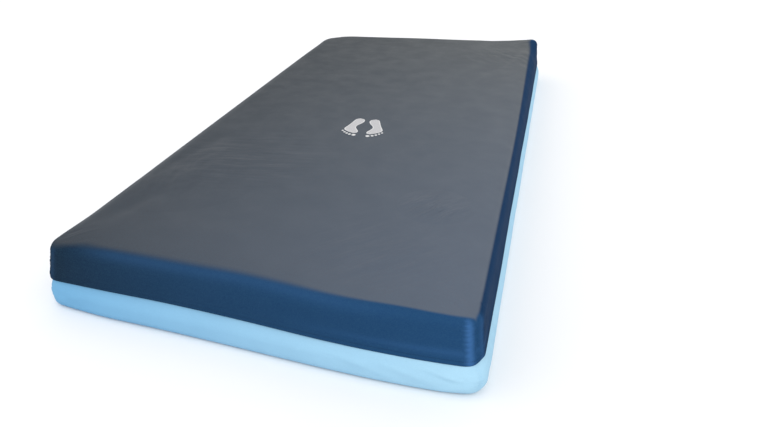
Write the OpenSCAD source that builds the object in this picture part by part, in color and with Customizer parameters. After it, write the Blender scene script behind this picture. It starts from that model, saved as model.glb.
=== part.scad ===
// Pressure relief mattress: a zoned foam core in a two-part cover that unzips all the way round.
// Millimetres, +Z up, +Y towards the head end. The origin is the centre of the underside.

/* [Mattress] */
// Overall width
mattress_w = 914; // [760:1:1220]
// Overall length
mattress_l = 2032; // [1880:1:2140]
// Overall thickness
mattress_t = 152; // [150:1:200]
// Radius of the corners seen from above
corner_r = 34; // [33:1:60]

/* [Cover] */
// Thickness of the cover fabric
fabric_t = 1; // [0.6:0.1:1]
// Radius of the upper edge
top_edge_r = 26; // [20:1:26]
// Radius of the lower edge
bottom_edge_r = 20; // [14:1:22]
// Height of the flap's lower edge above the underside
hem_z = 70; // [68:0.5:72]
// Depth of the hem folded up inside the flap
hem_fold = 9; // [6:0.5:9]

/* [Zip] */
// Height of the line where the two rows of teeth meet
zip_z = 84; // [84:0.5:86]
// Length of a slider
slider_l = 12; // [10:0.5:14]
// Height of a slider across the teeth
slider_w = 10; // [9:0.5:11]
// Length of a puller from its pivot
puller_l = 22; // [18:1:22]
// Width of a puller
puller_w = 7; // [6:0.5:8]

/* [Foam] */
// Thickness of the base slab
base_foam_t = 49; // [44:1:49]
// Thickness of the zoned support layer
zone_t = 56; // [40:1:60]
// Width of the firm side rails
side_rail_w = 90; // [70:1:120]
// Length of the firm end rails
end_rail_l = 70; // [60:1:100]
// Length of the head zone
head_zone_l = 420; // [350:1:500]
// Length of the torso zone
torso_zone_l = 640; // [500:1:700]
// Length of the leg zone
leg_zone_l = 460; // [400:1:520]
// Columns of cells cut in the topper
cell_columns = 8; // [6:1:10]
// Rows of cells cut in the topper
cell_rows = 21; // [16:1:24]
// Width of the cuts between cells
cut_w = 4; // [3:0.5:6]
// Depth of the cuts between cells
cut_depth = 22; // [15:1:30]

/* [Hidden] */

$fn = 48;
arc_steps = 8;
half_w = mattress_w / 2;
half_l = mattress_l / 2;

// Distances called u run outwards from the outer face of the walls, so those inside are negative.
slider_plate_t = 1;
slider_gap = 2.2;
stud_r = 1.5;
stud_head_r = 2.3;
stud_head_t = 0.5;
puller_t = 1;
puller_play = 0.1;
flap_clearance = 1;
stud_h = puller_t + 2 * puller_play + stud_head_t;
plate_outer_u = -fabric_t - flap_clearance - stud_h;
tape_u = plate_outer_u - slider_plate_t - slider_gap / 2;
core_u = tape_u - slider_gap / 2 - slider_plate_t - 0.5;

tape_t = 0.8;
teeth_t = 1.8;
teeth_h = 2.4;
teeth_gap = 1.6;
upper_teeth_z = zip_z + teeth_gap / 2;
lower_teeth_z = zip_z - teeth_gap / 2 - teeth_h;
neck_t = 1.2;
neck_l = 3;

// The chain of teeth starts and stops at the middle of the head end, with a slider on either side
zip_y = half_l + tape_u;
chain_end_x = 3.2;
slider_x = 3 + slider_l / 2;
stop_x = [-2.6, -0.8];
box_x = [0.4, 2.8];
box_z = [zip_z - 6.2, zip_z - 1];
box_half_t = 1.1;
box_wall = 0.5;

base_wall_top = zip_z - slider_w / 2 - 3;
base_lap_u = tape_u + tape_t / 2;
base_lap_z = base_wall_top - 13;
base_wall_u = base_lap_u + fabric_t;

foam_clearance = 0.6;
core_bottom = fabric_t + 0.3;
core_step = core_bottom + base_foam_t;
core_top = mattress_t - fabric_t - foam_clearance;
zone_top = core_step + zone_t;
core_half_w = half_w + core_u;
core_half_l = half_l + core_u;
core_edge_r = top_edge_r - 6;
bed_half_w = core_half_w - side_rail_w;
bed_start = -core_half_l + end_rail_l;
bed_end = core_half_l - end_rail_l;
head_start = bed_end - head_zone_l;
torso_start = head_start - torso_zone_l;
leg_start = torso_start - leg_zone_l;

navy = [0.10, 0.20, 0.36];
light_blue = [0.50, 0.75, 0.92];
zip_navy = [0.06, 0.10, 0.20];
zip_blue = [0.30, 0.55, 0.75];
metal = [0.72, 0.73, 0.75];
firm_foam = [0.93, 0.93, 0.88];
support_foam = [0.70, 0.82, 0.90];
soft_foam = [0.90, 0.78, 0.84];
visco_foam = [0.95, 0.90, 0.68];

// Points of an arc about (cx, cz) from angle a0 to a1
function arc(cx, cz, r, a0, a1) =
    [for (i = [0:arc_steps]) let (a = a0 + (a1 - a0) * i / arc_steps) [cx + r * cos(a), cz + r * sin(a)]];

function reversed(points) = [for (i = [len(points) - 1:-1:0]) points[i]];

// A square of the plan with rounded corners, as a 2D shape
module rounded_plan(hw, hl, r) {
    square([2 * hw, 2 * (hl - r)], center = true);
    square([2 * (hw - r), 2 * hl], center = true);
    for (sx = [-1, 1], sy = [-1, 1]) translate([sx * (hw - r), sy * (hl - r)]) circle(r);
}

// Carries a section drawn in (u, z) round a plan with rounded corners; u = 0 is the plan's outline
module around(hw = half_w, hl = half_l, r = corner_r) {
    for (turn = [0:3]) rotate(90 * turn) {
        across = turn % 2 == 0 ? hw : hl;
        along = turn % 2 == 0 ? hl : hw;
        translate([across, 0, 0]) rotate([90, 0, 0])
            linear_extrude(2 * (along - r), center = true) children();
        translate([across - r, along - r, 0])
            rotate_extrude(angle = 90) translate([r, 0]) children();
    }
}

// A band of constant section from u0 to u1 and z0 to z1, all the way round
module band(u0, u1, z0, z1) {
    around() translate([u0, z0]) square([u1 - u0, z1 - z0]);
}

// The foam core above the base slab, with rounded corners and a rounded upper edge
module core_envelope() {
    lip = core_edge_r + 2;
    r = corner_r + core_u;
    edge = concat(
        [[-lip, core_step], [0, core_step]],
        arc(-core_edge_r, core_top - core_edge_r, core_edge_r, 0, 90),
        [[-lip, core_top]]);
    around(core_half_w, core_half_l, r) polygon(edge);
    translate([0, 0, core_step]) linear_extrude(core_top - core_step)
        rounded_plan(core_half_w - lip + 1, core_half_l - lip + 1, r - lip + 1);
}

// A plain block between two corners
module block(x0, x1, y0, y1, z0, z1) {
    translate([x0, y0, z0]) cube([x1 - x0, y1 - y0, z1 - z0]);
}

module top_cover() {
    lip = top_edge_r + 6;
    wall = concat(
        [[-lip, mattress_t]],
        reversed(arc(-top_edge_r, mattress_t - top_edge_r, top_edge_r, 0, 90)),
        [[0, hem_z], [-fabric_t, hem_z]],
        arc(-top_edge_r, mattress_t - top_edge_r, top_edge_r - fabric_t, 0, 90),
        [[-lip, mattress_t - fabric_t]]);
    color(navy) {
        around() polygon(wall);
        translate([0, 0, mattress_t - fabric_t]) linear_extrude(fabric_t)
            rounded_plan(half_w - lip + 1, half_l - lip + 1, corner_r - lip + 1);
    }
}

module flap_hem() {
    color(navy) band(-1.8 * fabric_t, -fabric_t, hem_z, hem_z + hem_fold);
}

// Four strips that seal the corner seams, one inside each corner
module seam_tapes(z0, z1) {
    outer_r = corner_r - fabric_t - 0.02;
    inner_r = outer_r - 0.7;
    spread = 8;
    for (sx = [-1, 1], sy = [-1, 1])
        translate([sx * (half_w - corner_r), sy * (half_l - corner_r), z0])
            rotate(atan2(sy, sx) - spread)
                rotate_extrude(angle = 2 * spread)
                    translate([inner_r, 0]) square([outer_r - inner_r, z1 - z0]);
}

module top_seam_tapes() {
    color(navy) seam_tapes(zip_z + 26, mattress_t - top_edge_r);
}

module base_seam_tapes() {
    color(light_blue) seam_tapes(bottom_edge_r + 2, core_step - 8);
}

// The upper tape leaves the teeth, turns outwards and lies flat on the inside of the skirt
module upper_zip_tape() {
    foot_z = upper_teeth_z + teeth_h;
    turn_z = zip_z + slider_w / 2 + 2;
    sewn_z = turn_z + 6;
    inside = tape_u - tape_t / 2;
    outside = tape_u + tape_t / 2;
    sewn_u = -fabric_t;
    color(zip_navy) around() polygon([
        [inside, foot_z], [outside, foot_z], [outside, turn_z],
        [sewn_u, sewn_z], [sewn_u, sewn_z + 10], [sewn_u - tape_t, sewn_z + 10],
        [sewn_u - tape_t, sewn_z + 0.6], [inside, turn_z + 0.6]]);
}

// The lower tape is sewn to the inside of the tub's wall and stops short under the retainer box
module lower_zip_tape() {
    color(zip_blue) difference() {
        band(tape_u - tape_t / 2, tape_u + tape_t / 2, base_lap_z, lower_teeth_z);
        block(box_x[0], box_x[1], zip_y - tape_t, zip_y + tape_t, box_z[0], box_z[1]);
    }
}

// One row of teeth, broken at the middle of the head end where the chain starts and stops
module teeth_row(z0) {
    difference() {
        band(tape_u - teeth_t / 2, tape_u + teeth_t / 2, z0, z0 + teeth_h);
        block(-chain_end_x, chain_end_x, half_l - corner_r, half_l + 1, z0 - 1, z0 + teeth_h + 1);
    }
}

module upper_zip_teeth() {
    color(zip_navy) teeth_row(upper_teeth_z);
}

module lower_zip_teeth() {
    color(zip_blue) teeth_row(lower_teeth_z);
}

// A crimped stop at the end of one row of teeth
module zip_stop(z0) {
    color(metal) block(stop_x[0], stop_x[1], zip_y - teeth_t / 2, zip_y + teeth_t / 2, z0, z0 + teeth_h);
}

module upper_zip_stop() {
    zip_stop(upper_teeth_z);
}

module lower_zip_stop() {
    zip_stop(lower_teeth_z);
}

// The pin at the start of the upper row: a head crimped to the tape, and a blade in the retainer box
module zip_insertion_pin() {
    x = (box_x[0] + box_x[1]) / 2;
    blade_half = 0.5;
    head_half = 0.8;
    tip_z = box_z[0] + 1.6;
    color(metal) {
        block(x - blade_half, x + blade_half, zip_y - blade_half, zip_y + blade_half,
            tip_z, upper_teeth_z + 1);
        block(x - head_half, x + head_half, zip_y - teeth_t / 2, zip_y + teeth_t / 2,
            upper_teeth_z, upper_teeth_z + teeth_h);
    }
}

module zip_retainer_box() {
    inner_t = box_half_t - box_wall + 0.1;
    color(metal) difference() {
        block(box_x[0], box_x[1], zip_y - box_half_t, zip_y + box_half_t, box_z[0], box_z[1]);
        block(box_x[0] + box_wall, box_x[1] - box_wall, zip_y - inner_t, zip_y + inner_t,
            box_z[0] + 1.2, box_z[1] + 1);
    }
}

// A slider: two plates joined by a neck that runs between the rows of teeth. side is -1 or 1.
module slider(side) {
    y_out = half_l + plate_outer_u;
    y_in = y_out - 2 * slider_plate_t - slider_gap;
    x0 = side * slider_x - slider_l / 2;
    neck_x = side < 0 ? x0 + slider_l - neck_l : x0;
    color(metal) {
        for (y = [y_in, y_out - slider_plate_t])
            block(x0, x0 + slider_l, y, y + slider_plate_t, zip_z - slider_w / 2, zip_z + slider_w / 2);
        block(neck_x, neck_x + neck_l, y_in, y_out, zip_z - neck_t / 2, zip_z + neck_t / 2);
        translate([side * slider_x, y_out, zip_z]) rotate([-90, 0, 0]) {
            cylinder(r = stud_r, h = stud_h);
            translate([0, 0, stud_h - stud_head_t]) cylinder(r = stud_head_r, h = stud_head_t);
        }
    }
}

module left_slider() {
    slider(-1);
}

module right_slider() {
    slider(1);
}

// A puller that hangs from the slider's stud and swings in the plane of the wall
module puller(side) {
    grip_hole_r = puller_w / 2 - 1.8;
    color(metal)
        translate([side * slider_x, half_l + plate_outer_u + puller_play, zip_z]) rotate([-90, 0, 0])
            linear_extrude(puller_t) difference() {
                union() {
                    circle(puller_w / 2 - 0.3);
                    translate([-1.6, 0]) square([3.2, puller_l / 2]);
                    translate([-puller_w / 2, puller_l / 3])
                        square([puller_w, puller_l * 2 / 3 - puller_w / 2]);
                    translate([0, puller_l - puller_w / 2]) circle(puller_w / 2);
                }
                circle(stud_r + 0.06);
                translate([0, puller_l - puller_w / 2]) circle(grip_hole_r);
            }
}

module left_puller() {
    puller(-1);
}

module right_puller() {
    puller(1);
}

// The tub: flat underside, rounded lower edge, walls that lean in under the flap to meet the zip
module base_cover() {
    lip = bottom_edge_r + 6;
    leaning = [
        [0, base_lap_z - 19], [-0.6, base_lap_z - 13], [-2.2, base_lap_z - 8],
        [base_wall_u + 0.3, base_lap_z - 4], [base_wall_u, base_lap_z], [base_wall_u, base_wall_top]];
    outer = concat([[-lip, 0]], arc(-bottom_edge_r, bottom_edge_r, bottom_edge_r, -90, 0), leaning);
    inner = concat(
        [[-lip, fabric_t]],
        arc(-bottom_edge_r, bottom_edge_r, bottom_edge_r - fabric_t, -90, 0),
        [for (p = leaning) [p[0] - fabric_t, p[1]]]);
    color(light_blue) {
        around() polygon(concat(outer, reversed(inner)));
        linear_extrude(fabric_t)
            rounded_plan(half_w - lip + 1, half_l - lip + 1, corner_r - lip + 1);
    }
}

// A blank patch welded to the tub's wall at the left side, where the flap covers it
module care_label() {
    label_half = 40;
    label_t = 0.4;
    face_x = -half_w - base_wall_u;
    color("white")
        block(face_x - label_t, face_x, -label_half, label_half, hem_z + 0.5, base_wall_top - 1);
}

// The wide slab that carries everything, rounded to lie in the tub
module base_foam() {
    u = -fabric_t - 1;
    r = corner_r + u;
    round_r = bottom_edge_r - 2;
    lip = round_r + 2;
    edge = concat(
        [[-lip, core_bottom]],
        arc(-round_r, core_bottom + round_r, round_r, -90, 0),
        [[0, core_step - 6], [-1.5, core_step], [-lip, core_step]]);
    color(firm_foam) {
        around(half_w + u, half_l + u, r) polygon(edge);
        translate([0, 0, core_bottom]) linear_extrude(core_step - core_bottom)
            rounded_plan(half_w + u - lip + 1, half_l + u - lip + 1, r - lip + 1);
    }
}

// A firm rail is the part of the core's outline between two corners
module rail(x0, x1, y0, y1) {
    color(firm_foam) intersection() {
        core_envelope();
        block(x0, x1, y0, y1, core_step - 1, core_top + 1);
    }
}

module left_rail() {
    rail(-half_w, -bed_half_w, -half_l, half_l);
}

module right_rail() {
    rail(bed_half_w, half_w, -half_l, half_l);
}

module head_rail() {
    rail(-bed_half_w, bed_half_w, bed_end, half_l);
}

module foot_rail() {
    rail(-bed_half_w, bed_half_w, -half_l, bed_start);
}

// One block of the support layer that lies between the rails
module zone(y0, y1) {
    block(-bed_half_w, bed_half_w, y0, y1, core_step, zone_top);
}

module head_zone() {
    color(support_foam) zone(head_start, bed_end);
}

module torso_zone() {
    color(support_foam) zone(torso_start, head_start);
}

module leg_zone() {
    color(support_foam) zone(leg_start, torso_start);
}

module heel_zone() {
    color(soft_foam) zone(bed_start, leg_start);
}

// The visco topper, cut from above into square cells that sink one by one
module topper() {
    column = 2 * bed_half_w / cell_columns;
    row = (bed_end - bed_start) / cell_rows;
    cut_z = core_top - cut_depth;
    color(visco_foam) difference() {
        block(-bed_half_w, bed_half_w, bed_start, bed_end, zone_top, core_top);
        for (i = [1:cell_columns - 1]) {
            x = -bed_half_w + i * column;
            block(x - cut_w / 2, x + cut_w / 2, bed_start - 1, bed_end + 1, cut_z, core_top + 1);
        }
        for (j = [1:cell_rows - 1]) {
            y = bed_start + j * row;
            block(-half_w, half_w, y - cut_w / 2, y + cut_w / 2, cut_z, core_top + 1);
        }
    }
}

top_cover();
flap_hem();
top_seam_tapes();
upper_zip_tape();
upper_zip_teeth();
upper_zip_stop();
zip_insertion_pin();
base_cover();
base_seam_tapes();
lower_zip_tape();
lower_zip_teeth();
lower_zip_stop();
zip_retainer_box();
left_slider();
left_puller();
right_slider();
right_puller();
care_label();
base_foam();
left_rail();
right_rail();
head_rail();
foot_rail();
head_zone();
torso_zone();
leg_zone();
heel_zone();
topper();
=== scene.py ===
"""Looks of the pressure relief mattress: covers, zip, foam core, print, studio and camera, in metres.

-Y is the foot end, which is nearest in the main view. Every soft piece is first made straight, on the CAD's
outline, and is then moved by settle(), so that pieces which fit before still fit afterwards.
"""

import math
from collections import namedtuple

import bmesh
import bpy
import numpy as np
from mathutils import Matrix, Vector, noise
from mathutils.bvhtree import BVHTree


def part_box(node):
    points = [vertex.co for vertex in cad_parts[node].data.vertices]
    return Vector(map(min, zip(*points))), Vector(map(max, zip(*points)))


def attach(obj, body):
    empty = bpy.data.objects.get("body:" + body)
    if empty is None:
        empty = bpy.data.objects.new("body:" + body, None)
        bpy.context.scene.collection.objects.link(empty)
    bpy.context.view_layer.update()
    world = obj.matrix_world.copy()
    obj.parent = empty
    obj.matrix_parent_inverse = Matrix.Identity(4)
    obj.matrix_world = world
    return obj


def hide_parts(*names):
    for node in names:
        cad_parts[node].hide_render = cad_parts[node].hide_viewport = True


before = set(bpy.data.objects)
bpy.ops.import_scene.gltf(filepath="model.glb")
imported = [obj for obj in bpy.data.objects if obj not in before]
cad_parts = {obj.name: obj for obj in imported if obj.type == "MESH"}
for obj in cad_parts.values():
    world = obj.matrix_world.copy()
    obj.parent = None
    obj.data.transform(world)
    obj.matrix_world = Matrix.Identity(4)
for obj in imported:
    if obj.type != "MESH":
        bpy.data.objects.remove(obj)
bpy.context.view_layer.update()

TOP_BODY = "top_cover_body"
BASE_BODY = "mattress"
PAINTED_HIGHLIGHT = "taut_and_highlight"
PANEL_SHEEN = "panel"
SHADED = "shaded"

# ---------------- sizes, from the frame where it has them
TOP_LO, TOP_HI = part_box("top_cover")
HALF_W, HALF_L, TOP_Z = TOP_HI
HEM_Z = TOP_LO.z
BASE_TOP_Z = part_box("base_cover")[1].z
TEETH_LO, TEETH_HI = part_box("upper_zip_teeth")
LOWER_TEETH_LO, LOWER_TEETH_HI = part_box("lower_zip_teeth")
LABEL_LO, LABEL_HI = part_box("care_label")
CORE_LO, CORE_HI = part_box("topper")

CORNER_R = 0.034
TIGHTEST_R = 0.3 * CORNER_R
FABRIC_T = 0.0012
TAPE_T = 0.0008
SEAM_TAPE_T = 0.0007
TOOTH_PITCH = 0.0032
TOOTH_HALF_T = 0.0009
CHAIN_GAP = 0.0048
TAPE_INSET = HALF_W - (TEETH_HI.x - TOOTH_HALF_T)
TAPE_OUTER, TAPE_INNER = TAPE_INSET - TAPE_T / 2, TAPE_INSET + TAPE_T / 2
WALL_UNDER_FLAP = 0.0043
PANEL_INSET = 0.066
FINE_STEP = 0.006
COARSE_STEP = 0.030
FINE_ZONE = 0.070


# ---------------- small helpers
def smooth(value, low=0.0, high=1.0):
    """0 below low, 1 above high, and a smooth step between them."""
    t = np.clip((np.asarray(value, float) - low) / (high - low), 0.0, 1.0)
    return t * t * (3.0 - 2.0 * t)


def bump(value, centre, width):
    """A bell curve: 1 at the centre, and almost 0 at twice the width."""
    return np.exp(-(((value - centre) / width) ** 2))


def soft_noise(points, scale, seed):
    """Smooth noise from -1 to 1 at each point."""
    offset = Vector((seed * 3.7, seed * 1.9, seed * 5.3))
    return np.array([noise.noise(Vector(p) * scale + offset) for p in points])


def graded(half):
    """Positions from -half to half, close together near both ends."""
    fine = round(FINE_ZONE / FINE_STEP)
    coarse = round(2 * (half - FINE_ZONE) / COARSE_STEP)
    inner = half - FINE_ZONE
    return np.concatenate([
        np.linspace(-half, -inner, fine + 1)[:-1],
        np.linspace(-inner, inner, coarse + 1)[:-1],
        np.linspace(inner, half, fine + 1),
    ])


def new_object(name, verts, faces, materials=()):
    mesh = bpy.data.meshes.new(name)
    mesh.from_pydata([tuple(v) for v in verts], [], [tuple(f) for f in faces])
    mesh.update()
    mesh.polygons.foreach_set("use_smooth", [True] * len(mesh.polygons))
    obj = bpy.data.objects.new(name, mesh)
    bpy.context.scene.collection.objects.link(obj)
    for material in materials:
        mesh.materials.append(material)
    return obj


def read(obj, what):
    """Three numbers for each vertex, such as its place."""
    values = np.empty(len(obj.data.vertices) * 3)
    obj.data.vertices.foreach_get(what, values)
    return values.reshape(-1, 3)


def get_points(obj):
    return read(obj, "co")


def set_points(obj, points):
    obj.data.vertices.foreach_set("co", np.asarray(points, float).ravel())
    obj.data.update()


def get_normals(obj):
    return read(obj, "normal")


def apply_modifiers(obj):
    """Turns the object's modifiers into mesh."""
    depsgraph = bpy.context.evaluated_depsgraph_get()
    baked = bpy.data.meshes.new_from_object(obj.evaluated_get(depsgraph))
    old = obj.data
    obj.modifiers.clear()
    obj.data = baked
    bpy.data.meshes.remove(old)
    obj.data.name = obj.name
    obj.data.polygons.foreach_set("use_smooth", [True] * len(obj.data.polygons))


def subdivide(obj):
    modifier = obj.modifiers.new("subdivision", "SUBSURF")
    modifier.levels = modifier.render_levels = 1
    apply_modifiers(obj)


def thicken(obj, thickness):
    """Gives a surface an inner side, so that it is a closed solid."""
    modifier = obj.modifiers.new("thickness", "SOLIDIFY")
    modifier.thickness = thickness
    modifier.offset = -1.0
    modifier.use_even_offset = True
    apply_modifiers(obj)


def tidy_normals(obj):
    """Turns every face of a closed mesh outwards."""
    bm = bmesh.new()
    bm.from_mesh(obj.data)
    bmesh.ops.recalc_face_normals(bm, faces=bm.faces)
    bm.to_mesh(obj.data)
    bm.free()


Finish = namedtuple("Finish", "material slot body")


def finish_piece(obj, node, finish):
    """What every piece needs: material, body and the CAD node that it stands for, if any."""
    obj.data.materials.clear()
    obj.data.materials.append(finish.material)
    if node is not None:
        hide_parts(node)
    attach(obj, finish.body)
    return obj


# ---------------- faces
def grid_faces(base, rows, columns):
    """Faces of a grid of (rows + 1) x (columns + 1) points, numbered from base."""
    width = columns + 1
    starts = [base + row * width + column for row in range(rows) for column in range(columns)]
    return [(a, a + width, a + width + 1, a + 1) for a in starts]


def band_faces(here, there):
    """Faces between two closed rings of equally many points."""
    return list(zip(here, there, there[1:] + there[:1], here[1:] + here[:1]))


def rim(rows, columns):
    """(row, column) of a grid's boundary points, once round from (0, 0)."""
    out = [(row, 0) for row in range(rows)] + [(rows, column) for column in range(columns)]
    back = [(row, columns) for row in range(rows, 0, -1)] + [(0, column) for column in range(columns, 0, -1)]
    return out + back


def slab_faces(base, rows, columns):
    """Faces of a closed slab between two such grids, the second numbered after the first."""
    layer = (rows + 1) * (columns + 1)
    ring = [base + row * (columns + 1) + column for row, column in rim(rows, columns)]
    far = [face[::-1] for face in grid_faces(base + layer, rows, columns)]
    return grid_faces(base, rows, columns) + far + band_faces(ring, [k + layer for k in ring])


# ---------------- how the soft mattress has settled
EDGE_REACH = 0.16
FOOT_REACH = 0.32
FOOT_LEAN = 1.15


def crease(x, y, start, end, width, height):
    """The height of a ridge, or of a valley if height is below 0, along a line that fades at both ends."""
    (ax, ay), (bx, by) = start, end
    run_x, run_y = bx - ax, by - ay
    t = np.clip(((x - ax) * run_x + (y - ay) * run_y) / (run_x ** 2 + run_y ** 2), 0.0, 1.0)
    distance = np.hypot(x - ax - t * run_x, y - ay - t * run_y)
    return height * np.sin(math.pi * t) ** 0.7 * np.exp(-(distance / width) ** 2)


HOLLOWS = (
    # start, end, width, height: where the foam itself has given way
    ((0.335, 0.520), (0.420, 0.950), 0.016, -0.0026),
    ((0.385, 0.600), (0.440, 0.900), 0.012, 0.0012),
    ((-0.425, -0.660), (-0.330, -0.270), 0.028, -0.0034),
    ((-0.400, -0.900), (-0.310, -0.640), 0.030, -0.0040),
    ((-0.345, -0.740), (-0.235, -0.400), 0.034, 0.0026),
    ((-0.100, 0.400), (0.120, 0.620), 0.045, 0.0016),
    ((-0.260, -0.880), (0.060, -0.840), 0.050, 0.0020),
)


def spread(x, z):
    """How far the walls lean out: the base bulges, except at the left, and the top is drawn in."""
    bulge = 0.0080 * smooth(x, -HALF_W, -0.28) + 0.0015
    return bulge * (1.0 - smooth(z, 0.035, 0.080)) - 0.0085 * smooth(z, 0.060, 0.150)


def foot_bow(x):
    """How far the foot end stands out at x: least at the left corner, most towards the right."""
    t = np.clip(x / HALF_W, -1.0, 1.0)
    return 0.0145 * (1.0 - t ** 4) * smooth(t, -0.55, 0.75) - 0.001


def top_swell(x, y, z):
    """How far the top rises or sinks: a slight crown, a worn foot edge, and an uneven head end."""
    high = smooth(z, 0.105, TOP_Z)
    crown = 0.003 * (1.0 - (x / HALF_W) ** 2) * (1.0 - (y / HALF_L) ** 4)
    far_right = 0.007 * bump(y, HALF_L, 0.10) * smooth(x, 0.26, 0.43)
    far_right += 0.005 * bump(y, HALF_L, 0.03) * smooth(x, 0.40, 0.45)
    far_left = -0.004 * bump(y, HALF_L, 0.25) * smooth(-x, 0.0, 0.35)
    far_left -= 0.013 * bump(np.hypot(x + HALF_W, y - HALF_L), 0.0, 0.075)
    worn_at = smooth(0.26 - x, 0.0, 0.42) * smooth(x, -HALF_W, -HALF_W + 0.12)
    worn = -0.024 * worn_at * np.exp(-np.maximum(HALF_L + y, 0.0) / 0.036) * smooth(z, 0.085, TOP_Z)
    hollows = sum(crease(x, y, *fold) for fold in HOLLOWS)
    return high * (crown + far_right + far_left + hollows) + worn


def settle(points):
    """Moves points from the straight frame to the shape that the soft mattress has taken."""
    p = np.array(points, float).reshape(-1, 3)
    x, y, z = p[:, 0].copy(), p[:, 1].copy(), p[:, 2].copy()
    side = smooth(np.abs(x), HALF_W - EDGE_REACH, HALF_W - 0.01)
    foot = smooth(-y, HALF_L - EDGE_REACH, HALF_L - 0.01)
    near = smooth(-y, HALF_L - FOOT_REACH, HALF_L)
    p[:, 0] = x + np.sign(x) * side * spread(x, z)
    p[:, 1] = y - near * foot_bow(x) - foot * FOOT_LEAN * spread(x, z)
    p[:, 2] = z + top_swell(x, y, z)
    return p


def flap_droop(points):
    """The flap's free edge hangs a little lower towards the right of the foot end."""
    p = np.array(points, float)
    at_foot = smooth(-p[:, 1], HALF_L - 0.02, HALF_L)
    low = smooth(HEM_Z + 0.045 - p[:, 2], 0.0, 0.045)
    p[:, 2] -= 0.0075 * at_foot * low * smooth(p[:, 0], -0.10, 0.36)
    return p


def settle_flap(points):
    return flap_droop(settle(points))


# ---------------- the outline that every band follows
CORNERS = [(sx, sy) for sx in (-1, 1) for sy in (-1, 1)]


def in_corner(corner, angle, radius):
    """(x, y) at this angle and distance from the centre of one corner's arc."""
    x = HALF_W - CORNER_R + radius * math.cos(angle)
    y = HALF_L - CORNER_R + radius * math.sin(angle)
    return corner[0] * x, corner[1] * y


def outline(column_x, column_y, inset):
    """Points of the rounded rectangle at this inset, for boundary columns of the panel's grid, and their
    signed distance along it from the nearest corner's middle. Further in, the corners are tighter."""
    inset = np.asarray(inset, float)
    radius = np.maximum(CORNER_R - inset, TIGHTEST_R)
    centre_w, centre_l = HALF_W - inset - radius, HALF_L - inset - radius
    straight_w, straight_l = HALF_W - CORNER_R, HALF_L - CORNER_R
    ax, ay = np.abs(column_x), np.abs(column_y)
    on_side = ax >= HALF_W - 1e-9
    quarter = math.pi / 4
    angle_side = np.clip((ay - straight_l) / CORNER_R * quarter, 0.0, quarter)
    angle_end = np.clip(2 * quarter - (ax - straight_w) / CORNER_R * quarter, quarter, 2 * quarter)
    angle = np.where(on_side, angle_side, angle_end)
    straight_end = ~on_side & (ax < straight_w)
    straight_side = on_side & (ay < straight_l)
    x = np.where(straight_end, ax / straight_w * centre_w, centre_w + radius * np.cos(angle))
    y = np.where(straight_side, ay / straight_l * centre_l, centre_l + radius * np.sin(angle))
    along = CORNER_R * (angle - quarter)
    along = along - straight_side * (straight_l - ay) + straight_end * (straight_w - ax)
    return np.sign(column_x) * x, np.sign(column_y) * y, along


def from_corner(points):
    """Signed distance along the outline from the nearest corner's middle, for points on or near a wall:
    less than 0 on the long sides, more than 0 on the ends."""
    cx = np.abs(points[:, 0]) - (HALF_W - CORNER_R)
    cy = np.abs(points[:, 1]) - (HALF_L - CORNER_R)
    angle = np.arctan2(np.maximum(cy, 0.0), np.maximum(cx, 1e-6))
    return CORNER_R * (angle - math.pi / 4) + np.minimum(cy, 0.0) - np.minimum(cx, 0.0)


def top_edge_radius(x, y, along):
    """The upper edge is rounder along the sides and tighter at the corners, most of all at the right."""
    taut_and_highlight = 1.0 - smooth(np.abs(along), 0.02, 0.18)
    right_of_foot = smooth(-y, HALF_L - 0.08, HALF_L - 0.06) * smooth(x, 0.15, 0.35)
    return 0.033 - (0.011 + 0.006 * smooth(x, 0.2, 0.4)) * np.maximum(taut_and_highlight, right_of_foot)


def from_wall_top(points):
    """Distance over the surface from where the wall ends, inwards over the rounded edge and the panel. It is
    below 0 on the wall."""
    ax, ay, z = np.abs(points[:, 0]), np.abs(points[:, 1]), points[:, 2]
    out = np.hypot(np.maximum(ax - HALF_W + CORNER_R, 0.0), np.maximum(ay - HALF_L + CORNER_R, 0.0))
    square = np.minimum(HALF_W - ax, HALF_L - ay)
    rounded = smooth(out, 0.6 * TIGHTEST_R, 1.4 * TIGHTEST_R) * (1.0 - 0.6 * smooth(points[:, 0], 0.2, 0.4))
    inset = np.maximum(rounded * (CORNER_R - out) + (1.0 - rounded) * square, 0.0)
    radius = top_edge_radius(points[:, 0], points[:, 1], from_corner(points))
    over_edge = radius * np.arccos(np.clip(1.0 - inset / radius, 0.0, 1.0))
    return over_edge + np.maximum(inset - radius, 0.0) + np.minimum(z - (TOP_Z - radius), 0.0)


def panel_points(xs, ys, inset):
    """A flat grid inside the outline at this inset, whose corners are eased into the round ones."""
    gx, gy = np.meshgrid(xs, ys, indexing="ij")
    flat_x, flat_y = gx / HALF_W * (HALF_W - inset), gy / HALF_L * (HALF_L - inset)
    shift = np.zeros(gx.shape + (2,))
    reach = 2.0 * CORNER_R
    every = slice(None)

    def near(values, edge_values):
        return smooth(reach - np.abs(values - edge_values), 0.0, reach)[..., None]

    def boundary_move(rows, columns):
        bx, by, _ = outline(gx[rows, columns], gy[rows, columns], inset)
        return np.stack([bx - flat_x[rows, columns], by - flat_y[rows, columns]], -1)

    for edge in (0, -1):
        shift += near(gx, gx[edge, 0]) * boundary_move(edge, every)[None, :, :]
        shift += near(gy, gy[0, edge]) * boundary_move(every, edge)[:, None, :]
    for i in (0, -1):
        for j in (0, -1):
            shift -= near(gx, gx[i, j]) * near(gy, gy[i, j]) * boundary_move([i], [j])[0]
    return flat_x + shift[..., 0], flat_y + shift[..., 1]


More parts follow.
